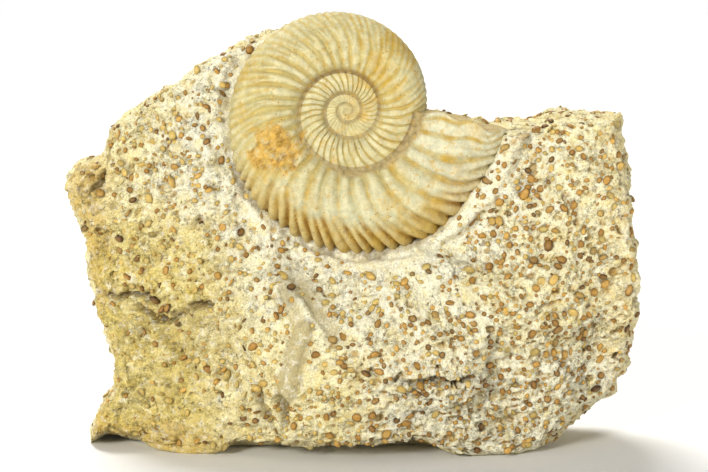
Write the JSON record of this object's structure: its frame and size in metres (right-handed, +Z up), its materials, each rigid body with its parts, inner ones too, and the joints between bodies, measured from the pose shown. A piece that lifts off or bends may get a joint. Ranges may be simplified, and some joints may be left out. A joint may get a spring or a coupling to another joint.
{
  "type": "ammonite fossil on a limestone block",
  "caption": "Upright broken block of cream oolitic limestone with a ribbed, coiled ammonite standing in relief at the top of its front face.",
  "frame": {"origin": "middle of the bounding box in X and Y, on the flat sole that the block stands on", "axes": "+X to the right as the fossil face is seen, -Y out of the fossil face, +Z up"},
  "size_m": [0.1254, 0.062, 0.0951],
  "materials": {
    "limestone": "dull, granular broken limestone, whitish where it was air-abraded and ochre where it is weathered",
    "ammonite_calcite": "smooth satin calcite with ochre stain in the furrows between the ribs",
    "iron_ooid": "small rounded brown iron ooids, satin"
  },
  "bodies": {
    "root": {"oolitic_limestone_block": "limestone", "ammonite_shell": "ammonite_calcite"}
  },
  "joints": []
}
